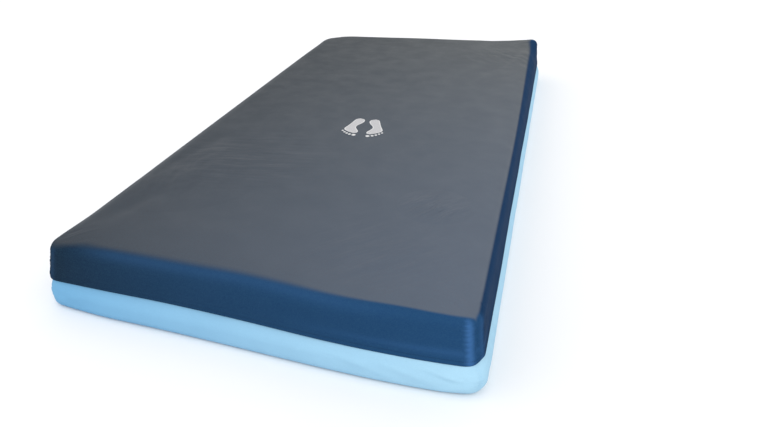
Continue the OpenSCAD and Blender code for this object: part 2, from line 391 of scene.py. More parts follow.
def shell(name, profile, panel_z, facing_up):
    """A tray-shaped sheet: a flat panel, and rings that carry it round the edge and down the walls. profile
    takes a column's (x, y) place and its distance from the nearest corner, and gives (inset, z) pairs."""
    xs, ys = graded(HALF_W), graded(HALF_L)
    px, py = panel_points(xs, ys, PANEL_INSET)
    verts = [(x, y, panel_z) for x, y in zip(px.ravel(), py.ravel())]
    boundary = rim(len(xs) - 1, len(ys) - 1)
    column_x = np.array([xs[i] for i, _ in boundary])
    column_y = np.array([ys[j] for _, j in boundary])
    along = outline(column_x, column_y, 0.0)[2]
    sections = np.array([profile(x, y, a) for x, y, a in zip(column_x, column_y, along)])
    faces = grid_faces(0, len(xs) - 1, len(ys) - 1)
    previous = [i * len(ys) + j for i, j in boundary]
    for inset, height in sections.transpose(1, 2, 0):
        ring = list(range(len(verts), len(verts) + len(boundary)))
        ox, oy, _ = outline(column_x, column_y, inset)
        verts += list(zip(ox, oy, height))
        faces += band_faces(previous, ring)
        previous = ring
    if not facing_up:
        faces = [face[::-1] for face in faces]
    return new_object(name, verts, faces)


# ---------------- cloth simulation
CLOTH_FRAMES = 20
CLOTH = dict(quality=5, mass=0.2, tension_stiffness=12, compression_stiffness=12, shear_stiffness=4,
             bending_stiffness=0.4, use_pressure=True)


def inflate(obj, pinned, pressure, cap):
    """Lets Blender's cloth solver fill the sheet out from its pinned rim. Only its outward movement is kept,
    as the foam would stop it from moving in, and cap limits how far it moves out."""
    start, normals = get_points(obj), get_normals(obj)
    group = obj.vertex_groups.new(name="rim")
    group.add([int(i) for i in pinned], 1.0, "REPLACE")
    cloth = obj.modifiers.new("cloth", "CLOTH")
    for key, value in CLOTH.items():
        setattr(cloth.settings, key, value)
    cloth.settings.uniform_pressure_force = pressure
    cloth.settings.vertex_group_mass = group.name
    cloth.settings.effector_weights.gravity = 0.0
    cloth.collision_settings.use_self_collision = False
    cloth.point_cache.frame_start = 1
    cloth.point_cache.frame_end = CLOTH_FRAMES
    for number in range(1, CLOTH_FRAMES + 1):
        bpy.context.scene.frame_set(number)
    apply_modifiers(obj)
    bpy.context.scene.frame_set(1)
    obj.vertex_groups.clear()
    outward = np.maximum(((get_points(obj) - start) * normals).sum(axis=1), 0.0)
    set_points(obj, start + normals * (cap * np.tanh(outward / cap))[:, None])


# ---------------- materials
class Nodes:
    """A few short calls for wiring a material."""

    def __init__(self, name):
        self.material = bpy.data.materials.new(name)
        self.material.use_nodes = True
        self.tree = self.material.node_tree
        self.shader = self.tree.nodes["Principled BSDF"]

    def node(self, kind, output, inputs=(), **settings):
        """One output of a new node. Each input is given as a number, a tuple or the socket that feeds it."""
        made = self.tree.nodes.new("ShaderNode" + kind)
        for key, value in settings.items():
            setattr(made, key, value)
        for key, value in dict(inputs).items():
            if isinstance(value, bpy.types.NodeSocket):
                self.tree.links.new(value, made.inputs[key])
            else:
                made.inputs[key].default_value = value
        return made.outputs[output]

    def position(self):
        return self.node("TexCoord", "Object")

    def scaled(self, vector, scale, turn=0.0):
        """Turned about Z, after being scaled."""
        inputs = {"Vector": vector, "Scale": tuple(1.0 / s for s in scale), "Rotation": (0.0, 0.0, turn)}
        return self.node("Mapping", "Vector", inputs, vector_type="TEXTURE")

    def noise(self, vector, scale, detail=3.0, roughness=0.5):
        inputs = {"Vector": vector, "Scale": scale, "Detail": detail, "Roughness": roughness}
        return self.node("TexNoise", "Fac", inputs)

    def bands(self, vector, scale, direction="DIAGONAL", distortion=1.5):
        inputs = {"Vector": vector, "Scale": scale, "Distortion": distortion, "Detail": 1.0}
        return self.node("TexWave", "Fac", inputs, wave_type="BANDS", bands_direction=direction)

    def distance(self, vector, point):
        return self.node("VectorMath", "Value", {0: vector, 1: point}, operation="DISTANCE")

    def remap(self, value, low, high, to_low, to_high):
        names = ("Value", "From Min", "From Max", "To Min", "To Max")
        return self.node("MapRange", "Result", zip(names, (value, low, high, to_low, to_high)))

    def math(self, operation, a, b):
        return self.node("Math", "Value", {0: a, 1: b}, operation=operation)

    def attribute(self, name):
        return self.node("Attribute", "Fac", attribute_name=name)

    def axis(self, vector, letter):
        return self.node("SeparateXYZ", letter, {0: vector})

    def mix(self, factor, a, b):
        """Mixes two colours, each a socket or a tuple."""
        a, b = ((*colour, 1.0) if isinstance(colour, tuple) else colour for colour in (a, b))
        return self.node("Mix", 2, {"Factor": factor, 6: a, 7: b}, data_type="RGBA")

    def bump(self, height, distance, strength=1.0, before=None):
        inputs = {"Height": height, "Distance": distance, "Strength": strength}
        if before is not None:
            inputs["Normal"] = before
        return self.node("Bump", "Normal", inputs)

    def finish(self, colour, roughness, normal, **fixed):
        for key, socket in (("Base Color", colour), ("Roughness", roughness), ("Normal", normal)):
            self.tree.links.new(socket, self.shader.inputs[key])
        for key, value in fixed.items():
            self.shader.inputs[key.replace("_", " ")].default_value = value
        return self.material


KNIT_PITCH = 0.0011


def knit_height(n, position):
    """Fine ribs in two directions, as a coated knit shows them."""
    scale = 1.0 / KNIT_PITCH / 3.2
    stretches = ((1.0, 0.55, 1.0), (0.55, 1.0, 0.8))
    ribs = [n.bands(n.scaled(position, stretch), scale) for stretch in stretches]
    return n.math("MULTIPLY", *ribs)


WRINKLED_SPOTS = (
    # centre x and y, reach, waves per metre across and along, turn, depth
    ((0.305, -0.615), 0.085, (52.0, 16.0), -0.45, 3.0),
    ((-0.200, -0.470), 0.240, (9.0, 42.0), 0.15, 1.0),
    ((-0.330, -0.600), 0.220, (20.0, 9.0), 0.35, 2.2),
    ((0.350, 0.740), 0.200, (26.0, 10.0), 0.60, 2.2),
    ((0.250, -0.860), 0.200, (30.0, 9.0), -0.70, 1.6),
)


def wrinkles(n, position):
    """Fine folds of the cover in a few spots of the panel, too narrow for the mesh to carry."""
    total = 0.0
    for centre, reach, waves, turn, depth in WRINKLED_SPOTS:
        lines = n.noise(n.scaled(position, (*waves, 1.0), turn), 1.0, 2.0, 0.45)
        spot = n.remap(n.distance(position, (*centre, TOP_Z)), 0.15 * reach, reach, depth, 0.0)
        total = n.math("ADD", total, n.math("MULTIPLY", lines, spot))
    return total


def across(n, position, left, right, early=1.0):
    """Fades from one colour at the left side to another at the right, and sooner if early is below 1. It is
    used for painted light, lighter towards the right.
    """
    share = n.remap(n.axis(position, "X"), -0.9 * HALF_W, 0.9 * HALF_W, 0.0, 1.0)
    return n.mix(n.math("POWER", share, early), left, right)


def coated_fabric(name, wall_left, wall_right, shaded=None, taut_and_highlight=None, panel=None, mottle=0.08, early=1.1):
    """Coated stretch knit, with painted light: darker at the left side and lighter at the right. shaded is
    its painted shade on the right wall, taut its painted highlight beside the corner seams, over the upper
    edge and above the hem, and panel (near and far left, near and far right) its greyer painted sheen, a
    reflection, on the top."""
    n = Nodes(name)
    position = n.position()
    cloudy = n.noise(position, 14.0, 4.0, 0.6)
    mottled = n.noise(position, 420.0, 2.0, 0.7)
    # Painted light: darker at the left side and lighter at the right.
    colour = across(n, position, wall_left, wall_right, early)
    rubbed = n.math("ADD", n.remap(cloudy, 0.3, 0.7, 0.80, 0.92), n.remap(mottled, 0.3, 0.7, -0.04, 0.04))
    # Painted shade on the right wall.
    if shaded is not None:
        colour = n.mix(n.attribute(SHADED), colour, shaded)
    # Painted highlight beside the corner seams, over the upper edge and above the hem.
    if taut_and_highlight is not None:
        colour = n.mix(n.attribute(PAINTED_HIGHLIGHT), colour, taut_and_highlight)
    # Painted sheen on the top panel: a reflection, greyer than the navy and lighter towards the right and
    # the near end.
    if panel is not None:
        along = n.remap(n.axis(position, "Y"), -0.9, 0.9, 0.0, 1.0)
        left, right = n.mix(along, *panel[:2]), n.mix(along, *panel[2:])
        on_panel_sheen = n.attribute(PANEL_SHEEN)
        colour = n.mix(on_panel_sheen, colour, across(n, position, left, right))
        rubbed = n.math("SUBTRACT", rubbed, n.remap(on_panel_sheen, 0.0, 1.0, 0.0, 0.38))
    colour = n.mix(n.remap(cloudy, 0.35, 0.70, 0.0, mottle), colour, tuple(0.7 * c for c in wall_left))
    colour = n.mix(n.remap(mottled, 0.3, 0.7, 0.0, 0.07), colour, (0.10, 0.27, 0.36))
    weave = n.bump(knit_height(n, position), 0.00012, 0.55)
    creased = n.bump(n.noise(position, 26.0, 5.0, 0.62), 0.0012, 0.05, weave)
    if panel is not None:
        creased = n.bump(wrinkles(n, position), 0.006, 0.8, creased)
    return n.finish(colour, rubbed, creased, Specular_IOR_Level=0.06)


def woven_tape(name, light, dark):
    n = Nodes(name)
    position = n.position()
    weave = n.bands(position, 420.0, "Z", 2.0)
    grain = n.noise(position, 900.0, 2.0)
    colour = n.mix(n.math("MULTIPLY", weave, grain), dark, light)
    rough = n.remap(grain, 0.3, 0.7, 0.75, 0.9)
    return n.finish(colour, rough, n.bump(weave, 0.0002, 0.7), Sheen_Weight=0.3)


def grained(name, light, dark, grain, shares, rough, raised, **fixed):
    """A material whose colour, roughness and bump all follow one fine noise."""
    n = Nodes(name)
    noise_value = n.noise(n.position(), *grain)
    colour = n.mix(n.remap(noise_value, *shares, 0.0, 1.0), dark, light)
    return n.finish(colour, n.remap(noise_value, 0.3, 0.7, *rough), n.bump(noise_value, *raised), **fixed)


def tumbled_metal(name, light, dark):
    n = Nodes(name)
    position = n.position()
    scratches = n.noise(n.scaled(position, (300.0, 300.0, 2500.0)), 1.0, 4.0)
    colour = n.mix(n.remap(n.noise(position, 700.0, 3.0), 0.35, 0.7, 0.0, 1.0), light, dark)
    rough = n.remap(scratches, 0.3, 0.7, 0.22, 0.42)
    return n.finish(colour, rough, n.bump(scratches, 0.00005, 0.4), Metallic=1.0)


def open_cell_foam(name, light, dark, pores=520.0):
    n = Nodes(name)
    position = n.position()
    cells = n.node("TexVoronoi", "Distance", {"Vector": position, "Scale": pores})
    pore = n.remap(cells, 0.05, 0.5, 0.0, 1.0)
    tone = n.noise(position, 9.0, 4.0, 0.6)
    colour = n.mix(n.remap(tone, 0.35, 0.65, 0.0, 1.0), dark, light)
    # The pore hollows are darkened: painted shade.
    colour = n.mix(n.remap(pore, 0.0, 1.0, 0.30, 0.0), colour, tuple(0.45 * c for c in dark))
    surface = n.bump(n.noise(position, 60.0, 4.0, 0.7), 0.0012, 0.35, n.bump(pore, 0.0005, 0.8))
    return n.finish(colour, n.remap(tone, 0.3, 0.7, 0.88, 0.97), surface, Sheen_Weight=0.15)


NYLON = dict(grain=(260.0, 3.0), shares=(0.35, 0.65), rough=(0.28, 0.42), raised=(0.0001, 0.3))
WORN_INK = dict(grain=(340.0, 4.0, 0.7), shares=(0.42, 0.60), rough=(0.50, 0.65), raised=(0.00015, 0.4))
THREAD = dict(grain=(1500.0, 2.0), shares=(0.30, 0.70), rough=(0.50, 0.70), raised=(0.0002, 0.5),
              Specular_IOR_Level=0.1)

# Navy cover: the wall colours are painted light, darker left and lighter right; shaded is painted shade,
# taut a painted highlight, and the four panel colours a painted grey sheen.
NAVY_FABRIC = coated_fabric("navy_coated_knit", (0.0050, 0.0140, 0.0325), (0.010, 0.048, 0.129),
                            shaded=(0.001, 0.019, 0.068), taut_and_highlight=(0.038, 0.120, 0.300),
                            panel=((0.044, 0.047, 0.056), (0.032, 0.033, 0.037),
                                   (0.093, 0.109, 0.143), (0.082, 0.085, 0.088)),
                            mottle=0.03, early=0.75)
LINING_FABRIC = coated_fabric("navy_lining", (0.008, 0.024, 0.060), (0.010, 0.040, 0.105))
# The light blue is darker at the left and lighter at the right: painted light.
SKY_FABRIC = coated_fabric("light_blue_coated_knit", (0.162, 0.380, 0.600), (0.375, 0.608, 0.765))
NAVY_WEAVE = woven_tape("navy_tape_weave", (0.03, 0.055, 0.12), (0.012, 0.022, 0.055))
SKY_WEAVE = woven_tape("blue_tape_weave", (0.25, 0.50, 0.72), (0.12, 0.32, 0.52))
SATIN = woven_tape("label_satin", (0.86, 0.86, 0.84), (0.70, 0.70, 0.69))
NAVY_NYLON = grained("navy_teeth_nylon", (0.035, 0.06, 0.14), (0.02, 0.035, 0.09), **NYLON)
SKY_NYLON = grained("blue_teeth_nylon", (0.22, 0.46, 0.68), (0.14, 0.34, 0.55), **NYLON)
METAL = tumbled_metal("tumbled_zip_metal", (0.62, 0.63, 0.65), (0.40, 0.40, 0.41))
FIRM_CELLS = open_cell_foam("firm_foam_cells", (0.70, 0.70, 0.64), (0.60, 0.60, 0.54))
SUPPORT_CELLS = open_cell_foam("support_foam_cells", (0.30, 0.46, 0.62), (0.23, 0.38, 0.54))
HEEL_CELLS = open_cell_foam("heel_foam_cells", (0.68, 0.42, 0.53), (0.58, 0.33, 0.44))
VISCO_CELLS = open_cell_foam("visco_foam_cells", (0.74, 0.65, 0.36), (0.64, 0.54, 0.28), pores=800.0)
PRINT_GREY = grained("print_grey_ink", (0.52, 0.51, 0.52), (0.40, 0.40, 0.41), **WORN_INK)
PRINT_WHITE = grained("print_white_ink", (0.70, 0.70, 0.70), (0.58, 0.58, 0.58), **WORN_INK)
NAVY_THREAD = grained("seam_thread", (0.012, 0.070, 0.165), (0.007, 0.040, 0.100), **THREAD)
DARK_THREAD = grained("hem_thread", (0.007, 0.034, 0.090), (0.004, 0.020, 0.055), **THREAD)
SKY_THREAD = grained("blue_thread", (0.42, 0.66, 0.84), (0.30, 0.54, 0.75), **THREAD)

NAVY = Finish(NAVY_FABRIC, "navy_cover", TOP_BODY)
NAVY_LINING = Finish(LINING_FABRIC, "navy_cover", TOP_BODY)
NAVY_SEAM = Finish(NAVY_THREAD, "navy_cover", TOP_BODY)
NAVY_HEM = Finish(DARK_THREAD, "navy_cover", TOP_BODY)
NAVY_TAPE = Finish(NAVY_WEAVE, "navy_tape", TOP_BODY)
NAVY_TEETH = Finish(NAVY_NYLON, "navy_teeth", TOP_BODY)
SKY = Finish(SKY_FABRIC, "light_blue_cover", BASE_BODY)
SKY_SEAM = Finish(SKY_THREAD, "light_blue_cover", BASE_BODY)
SKY_TAPE = Finish(SKY_WEAVE, "blue_tape", BASE_BODY)
SKY_TEETH = Finish(SKY_NYLON, "blue_teeth", BASE_BODY)
LABEL = Finish(SATIN, "label", BASE_BODY)
FIRM_FOAM = Finish(FIRM_CELLS, "firm_foam", BASE_BODY)
SUPPORT_FOAM = Finish(SUPPORT_CELLS, "support_foam", BASE_BODY)
HEEL_FOAM = Finish(HEEL_CELLS, "heel_foam", BASE_BODY)
VISCO_FOAM = Finish(VISCO_CELLS, "visco_foam", BASE_BODY)


# ---------------- folds and gathers in the covers
PUCKER_PITCH = 0.0092
SEAM_DEPTH = 0.0010


def gathers(points):
    """The wave of small folds across the corner seams, from -1 to 1."""
    slanted = points[:, 2] + 0.25 * np.minimum(from_corner(points), 0.0)
    coarse = np.sin(2 * math.pi * slanted / PUCKER_PITCH + soft_noise(points, 18.0, 3) * 2.6)
    fine = np.sin(2 * math.pi * slanted / (0.45 * PUCKER_PITCH) + soft_noise(points, 40.0, 9) * 2.0)
    return 0.65 * coarse + 0.35 * fine


def corner_puckers(points, gather=0.0013):
    """How far the fabric is pulled in along a corner seam, with gathers across it."""
    along = from_corner(points)
    reach = np.where(along > 0, 0.013, 0.021)
    return gather * gathers(points) * np.exp(-np.abs(along) / reach) - SEAM_DEPTH * bump(along, 0.0, 0.0030)


TOP_CREASES = (
    # start, end, width, height: folds of the cover alone
    ((0.438, -0.860), (0.442, 0.100), 0.005, 0.0008),
    ((0.442, 0.080), (0.424, 0.860), 0.007, 0.0012),
    ((0.255, -0.640), (0.285, -0.560), 0.0065, 0.0026),
    ((0.285, -0.690), (0.325, -0.590), 0.0070, 0.0034),
    ((0.330, -0.700), (0.350, -0.620), 0.0060, 0.0026),
    ((0.300, -0.545), (0.330, -0.480), 0.0060, 0.0020),
    ((0.180, -0.950), (0.330, -0.760), 0.0150, 0.0024),
    ((-0.340, -0.430), (-0.120, -0.400), 0.0100, 0.0018),
    ((-0.230, -0.490), (-0.040, -0.520), 0.0090, 0.0015),
    ((-0.330, -0.560), (-0.280, -0.400), 0.0110, 0.0020),
    ((0.310, 0.760), (0.420, 0.830), 0.0100, 0.0016),
)
FAN = ((0.100, 0.045), (0.075, 0.085), (0.040, 0.120))  # how far in each corner's three folds run


def panel_creases(points):
    """The few soft folds that show on the top panel, and a small fan of them at each corner."""
    x, y = points[:, 0], points[:, 1]
    total = sum(crease(x, y, *fold) for fold in TOP_CREASES)
    for sx, sy in CORNERS:
        start = (sx * (HALF_W - 0.018), sy * (HALF_L - 0.018))
        for k, (dx, dy) in enumerate(FAN):
            end = (start[0] - sx * dx, start[1] - sy * dy)
            total += crease(x, y, start, end, 0.006, 0.0007 * (-1) ** (k + 1))
    return total


def wall_creases(points):
    """Soft sideways folds that gather towards the corner seams."""
    near = np.exp(-np.abs(from_corner(points)) / 0.055)
    phase = soft_noise(points, 9.0, 11) * 3.0
    folds = np.sin(2 * math.pi * points[:, 2] / 0.026 + phase)
    long_wave = soft_noise(points * np.array([1.0, 1.0, 3.5]), 6.5, 5)
    return 0.0005 * near * folds + 0.0010 * long_wave


def dress(obj, details):
    """Pushes each point along its normal by the sum of the detail functions' heights."""
    points, normals = get_points(obj), get_normals(obj)
    height = sum(detail(points) for detail in details)
    set_points(obj, points + normals * height[:, None])


def faded(detail, low, high):
    """The detail, fading in from the height low to the height high, which may be the lower of the two."""
    return lambda points: detail(points) * smooth(points[:, 2], low, high)


# ---------------- top cover
def top_profile(x, y, along):
    """From the flat panel over the rounded edge and down the wall to the hem."""
    r = float(top_edge_radius(x, y, along))
    rings = [(r + (PANEL_INSET - r) * share, TOP_Z) for share in (0.66, 0.33)]
    steps = 8
    for k in range(steps + 1):
        a = math.pi / 2 * (1 - k / steps)
        rings.append((r - r * math.cos(a), TOP_Z - r + r * math.sin(a)))
    wall = TOP_Z - r - HEM_Z
    rows = 15
    return rings + [(0.0, TOP_Z - r - wall * k / rows) for k in range(1, rows + 1)]


def hem_ridge(points):
    """The folded hem shows through as a faint step."""
    fold_top = HEM_Z + 0.011
    return 0.0008 * smooth(fold_top - points[:, 2], -0.0015, 0.0015) * (points[:, 2] < HEM_Z + 0.03)


def sheen_edge(points):
    """How far over the upper edge the panel's painted grey sheen begins: further in where the foot end is
    worn round, and right at the edge in the corners of the foot end."""
    x, y = points[:, 0], points[:, 1]
    at_foot = smooth(-y, HALF_L - 0.09, HALF_L - 0.05)
    foot = 0.028 * (1.0 - smooth(x, -0.05, 0.38)) * at_foot * smooth(x, -HALF_W, -HALF_W + 0.10)
    along = from_corner(points)
    right_side = 0.016 * smooth(y, -0.3, 1.0) * smooth(-along, -0.015, 0.015) * (x > 0.0)
    near_corner = 1.0 - smooth(np.abs(along), 0.02, 0.18)
    tight = np.maximum(near_corner, at_foot * smooth(x, 0.30, 0.42)) * smooth(-y, 0.0, 0.5)
    return 0.0255 + foot + right_side - 0.0078 * tight


def mark_fabric(obj):
    """Notes for the material where the panel's painted grey sheen lies, where painted shade falls on the
    right wall,
    and where painted highlights lie: over the upper edge, above the hem and in a strip beside each corner
    seam."""
    points = get_points(obj)
    x, y, z = points.T
    along = from_corner(points)
    folds = gathers(points)
    inwards, edge = from_wall_top(points), sheen_edge(points)
    # How soft the edge of the panel's painted sheen is: softer where it starts further in, and at the left
    # side.
    fade = 0.0032 + 0.006 * smooth(edge, 0.030, 0.050) + 0.010 * (1.0 - smooth(x, -HALF_W, -0.30))
    panel = smooth((inwards - edge) / fade, -1.0, 1.0)
    # Painted highlight in a strip beside each corner seam, rippled by the gathers, strongest on the ends,
    # faint at the left.
    on_end = bump(along, 0.0125 + 0.0015 * folds, 0.0075)
    strip = np.where(along > 0, on_end, 0.30 * bump(along, -0.013, 0.006))
    strip *= (0.86 + 0.14 * folds) * smooth(-inwards, -0.020, -0.006)
    strip *= 0.15 + 0.85 * smooth(x, -0.30, 0.40)
    # Painted highlight on the rounded upper edge, just before the painted sheen.
    edge_highlight = 0.17 * bump(inwards, edge - 0.012, 0.012)
    edge_highlight *= smooth(x, -0.42, -0.28) * (1.0 - 0.8 * smooth(x, 0.1, 0.4))
    # Painted highlight in a band above the hem, at the right of the foot end.
    hem_highlight = 0.20 * bump(z, HEM_Z + 0.019, 0.0055) * smooth(x, 0.05, 0.40) * smooth(-y, 0.9, 1.0)
    taut_and_highlight = np.maximum(strip, np.maximum(edge_highlight, hem_highlight))
    # Painted shade on the right long wall.
    shaded = smooth(-along, 0.0, 0.034) * (x > 0.0)
    for name, values in ((PANEL_SHEEN, panel), (PAINTED_HIGHLIGHT, taut_and_highlight), (SHADED, shaded)):
        obj.data.attributes.new(name, "FLOAT", "POINT").data.foreach_set("value", values)


def make_top_cover():
    cover = shell("top_cover_fabric", top_profile, TOP_Z, facing_up=True)
    inflate(cover, np.nonzero(get_points(cover)[:, 2] < HEM_Z + 0.006)[0], pressure=3.0, cap=0.0035)
    subdivide(cover)
    mark_fabric(cover)
    wall = (TOP_Z - 0.006, TOP_Z - 0.030)
    dress(cover, [
        faded(faded(corner_puckers, *wall), HEM_Z + 0.006, HEM_Z + 0.018),
        faded(wall_creases, *wall),
        faded(panel_creases, TOP_Z - 0.012, TOP_Z - 0.002),
        hem_ridge,
    ])
    set_points(cover, settle_flap(get_points(cover)))
    thicken(cover, FABRIC_T)
    return finish_piece(cover, "top_cover", NAVY)


# ---------------- base cover
LEAN = (
    # inset, z: how the base's wall draws back behind the flap
    (0.0003, 0.048), (0.0009, 0.0515), (0.0019, 0.055), (0.0031, 0.058), (0.0040, 0.061),
    (WALL_UNDER_FLAP, 0.0645), (WALL_UNDER_FLAP, 0.070), (WALL_UNDER_FLAP, BASE_TOP_Z),
)


def base_profile(x, y, along):
    """From the underside round the lower edge and up the wall to the zip."""
    r = 0.016 + (0.008 if x > 0 else 0.003) * float(1.0 - smooth(abs(along), 0.015, 0.07))
    rings = [(r + (PANEL_INSET - r) * 0.5, 0.0)]
    steps, rows = 7, 6
    for k in range(steps + 1):
        a = math.pi / 2 * k / steps
        rings.append((r - r * math.sin(a), r - r * math.cos(a)))
    lean_start = 0.044
    return rings + [(0.0, r + (lean_start - r) * k / rows) for k in range(1, rows + 1)] + list(LEAN)


def base_folds(points):
    """Slanting folds that run from under the flap to the lower corners."""
    along = from_corner(points)
    slant = points[:, 2] + 0.55 * np.abs(along)
    phase = soft_noise(points, 10.0, 21) * 2.5
    folds = np.sin(2 * math.pi * slant / 0.034 + phase) * np.exp(-np.abs(along) / 0.060)
    long_wave = soft_noise(points * np.array([1.0, 1.0, 4.0]), 5.5, 25)
    return 0.0010 * (folds + long_wave)


BASE_CREASES = (
    # start and end as (x, z) on the foot end's wall, width, height
    ((0.180, 0.056), (0.320, 0.018), 0.0075, 0.0022),
    ((0.270, 0.056), (0.390, 0.016), 0.0055, 0.0024),
    ((0.320, 0.056), (0.410, 0.028), 0.0045, -0.0016),
    ((0.350, 0.054), (0.425, 0.034), 0.0040, 0.0020),
    ((-0.330, 0.050), (-0.430, 0.024), 0.0070, 0.0012),
)


def base_creases(points):
    """Lines of pull on the foot end, from under the flap down to the corners."""
    at_foot = smooth(-points[:, 1], HALF_L - 0.02, HALF_L - 0.005)
    return at_foot * sum(crease(points[:, 0], points[:, 2], *fold) for fold in BASE_CREASES)


def base_puckers(points):
    return corner_puckers(points, gather=0.0008)


def make_base_cover():
    cover = shell("base_cover_fabric", base_profile, 0.0, facing_up=False)
    z = get_points(cover)[:, 2]
    held = (z > BASE_TOP_Z - 0.016) | (z < 0.0005)
    inflate(cover, np.nonzero(held)[0], pressure=2.0, cap=0.0015)
    subdivide(cover)
    dress(cover, [faded(base_folds, 0.004, 0.020), base_creases, faded(base_puckers, 0.006, 0.020)])
    points = settle(get_points(cover))
    points[:, 2] = np.maximum(points[:, 2], 0.0)
    set_points(cover, points)
    thicken(cover, FABRIC_T)
    return finish_piece(cover, "base_cover", SKY)


# ---------------- bands that run all the way round
def perimeter(inset, step):
    """Points and outward directions round the outline at this inset, before the mattress settles."""
    radius = CORNER_R - inset
    centre_x, centre_y = HALF_W - CORNER_R, HALF_L - CORNER_R
    centres = np.array([(1, 1), (-1, 1), (-1, -1), (1, -1)]) * (centre_x, centre_y)
    points, outward = [], []

    def add(centre, angle):
        outward.append((math.cos(angle), math.sin(angle)))
        points.append(centre + radius * np.array(outward[-1]))

    for quarter in range(4):
        here, there = centres[quarter], centres[(quarter + 1) % 4]
        turns = max(3, round(radius * math.pi / 2 / step))
        for k in range(turns):
            add(here, math.pi / 2 * (quarter + k / turns))
        count = max(1, round(np.linalg.norm(there - here) / step))
        for k in range(count):
            add(here + (there - here) * k / count, math.pi / 2 * (quarter + 1))
    return np.array(points), np.array(outward)


def sweep_band(name, section, step=0.010, shape=settle):
    """A closed section of (inset, z) points carried all the way round."""
    points, outward = perimeter(0.0, step)
    size = len(section)
    verts = [(*(p - o * inset), z) for p, o in zip(points, outward) for inset, z in section]
    rings = [list(range(base, base + size)) for base in range(0, len(verts), size)]
    faces = []
    for here, there in zip(rings, rings[1:] + rings[:1]):
        faces += band_faces(here, there)
    band = new_object(name, shape(np.array(verts)), faces)
    tidy_normals(band)
    return band


def make_flap_hem():
    """The fabric folded up inside the flap's lower edge, with a rolled fold."""
    inner, outer = 0.0022, FABRIC_T
    top = HEM_Z + 0.009
    roll_r = 0.0009
    roll = [(outer + 0.0004 - roll_r * math.cos(a), HEM_Z + roll_r - roll_r * math.sin(a))
            for a in np.linspace(0.3, math.pi - 0.3, 5)]
    section = [(outer, top), *roll, (inner, HEM_Z + 0.002), (inner, top - 0.0006)]
    hem = sweep_band("flap_hem_fold", section, step=0.008, shape=settle_flap)
    return finish_piece(hem, "flap_hem", NAVY_LINING)


def make_upper_tape():
    """Hangs the teeth from the cover's wall, to which its upper half is sewn."""
    foot = TEETH_HI.z
    turn, sewn, end = foot + 0.004, foot + 0.010, foot + 0.020
    wall = FABRIC_T + 0.0022
    section = [(TAPE_INNER, foot), (TAPE_OUTER, foot), (TAPE_OUTER, turn), (wall, sewn), (wall, end),
               (wall + TAPE_T, end), (wall + TAPE_T, sewn + 0.0006), (TAPE_INNER, turn + 0.0006)]
    return finish_piece(sweep_band("upper_zip_tape_weave", section), "upper_zip_tape", NAVY_TAPE)


def make_lower_tape():
    top, bottom = LOWER_TEETH_LO.z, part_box("lower_zip_tape")[0].z
    section = [(TAPE_INNER, top), (TAPE_OUTER, top), (TAPE_OUTER, (top + bottom) / 2), (TAPE_OUTER, bottom),
               (TAPE_INNER, bottom)]
    return finish_piece(sweep_band("lower_zip_tape_weave", section), "lower_zip_tape", SKY_TAPE)


def make_teeth(name, node, root_z, nose_z, finish):
    """A row of moulded teeth, wide at the tape and slim at the nose, open where the chain starts."""
    middle_z = (root_z + nose_z) / 2
    levels = ((root_z, 0.00115, TOOTH_HALF_T), (middle_z, 0.0013, TOOTH_HALF_T), (nose_z, 0.0007, 0.0006))
    verts, faces = [], []
    for p, o in zip(*perimeter(TAPE_INSET, TOOTH_PITCH)):
        if p[1] > HALF_L - CORNER_R and abs(p[0]) < CHAIN_GAP:
            continue
        along = np.array((-o[1], o[0]))
        base = len(verts)
        rings = [list(range(start, start + 4)) for start in (base, base + 4, base + 8)]
        for z, half_l, half_t in levels:
            for a, b in ((-1, -1), (1, -1), (1, 1), (-1, 1)):
                verts.append((*(p + along * half_l * a + o * half_t * b), z))
        faces += [tuple(rings[0][::-1]), tuple(rings[2])]
        faces += band_faces(rings[0], rings[1]) + band_faces(rings[1], rings[2])
    teeth = new_object(name, settle(np.array(verts)), faces)
    tidy_normals(teeth)
    return finish_piece(teeth, node, finish)


# ---------------- seam tapes and the label
def make_corner_tapes(name, node, inset, finish):
    """A thin welded strip behind each corner seam, as high as the CAD's."""
    low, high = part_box(node)
    half_turn = math.radians(8)
    rows, columns = 10, 6
    verts, faces = [], []
    for corner in CORNERS:
        faces += slab_faces(len(verts), rows, columns)
        for radius in (CORNER_R - inset, CORNER_R - inset - SEAM_TAPE_T):
            for z in np.linspace(low.z, high.z, rows + 1):
                for turn in np.linspace(-half_turn, half_turn, columns + 1):
                    verts.append((*in_corner(corner, math.pi / 4 + turn, radius), z))
    strip = new_object(name, settle(np.array(verts)), faces)
    tidy_normals(strip)
    return finish_piece(strip, node, finish)


def make_label():
    """The blank patch under the flap, with slightly curled ends."""
    rows, columns = 6, 28
    verts = []
    for x in (LABEL_LO.x, LABEL_HI.x):
        for z in np.linspace(LABEL_LO.z, LABEL_HI.z, rows + 1):
            for along in np.linspace(-1.0, 1.0, columns + 1):
                y = (LABEL_LO.y + LABEL_HI.y + (LABEL_HI.y - LABEL_LO.y) * along) / 2
                verts.append((x - 0.0004 * along ** 8, y, z))
    label = new_object("care_label_satin", settle(np.array(verts)), slab_faces(0, rows, columns))
    tidy_normals(label)
    return finish_piece(label, "care_label", LABEL)


# ---------------- stitches
STITCH_PITCH = 0.0036
STITCH_L = 0.0026
THREAD_R = 0.00032
THREAD_SIDES = 5
CLEAR_OF_FABRIC = 0.008


def skin_of(obj):
    """A tree of the object's surface, which tells where a ray meets it."""
    polygons = [tuple(polygon.vertices) for polygon in obj.data.polygons]
    return BVHTree.FromPolygons([vertex.co.copy() for vertex in obj.data.vertices], polygons)


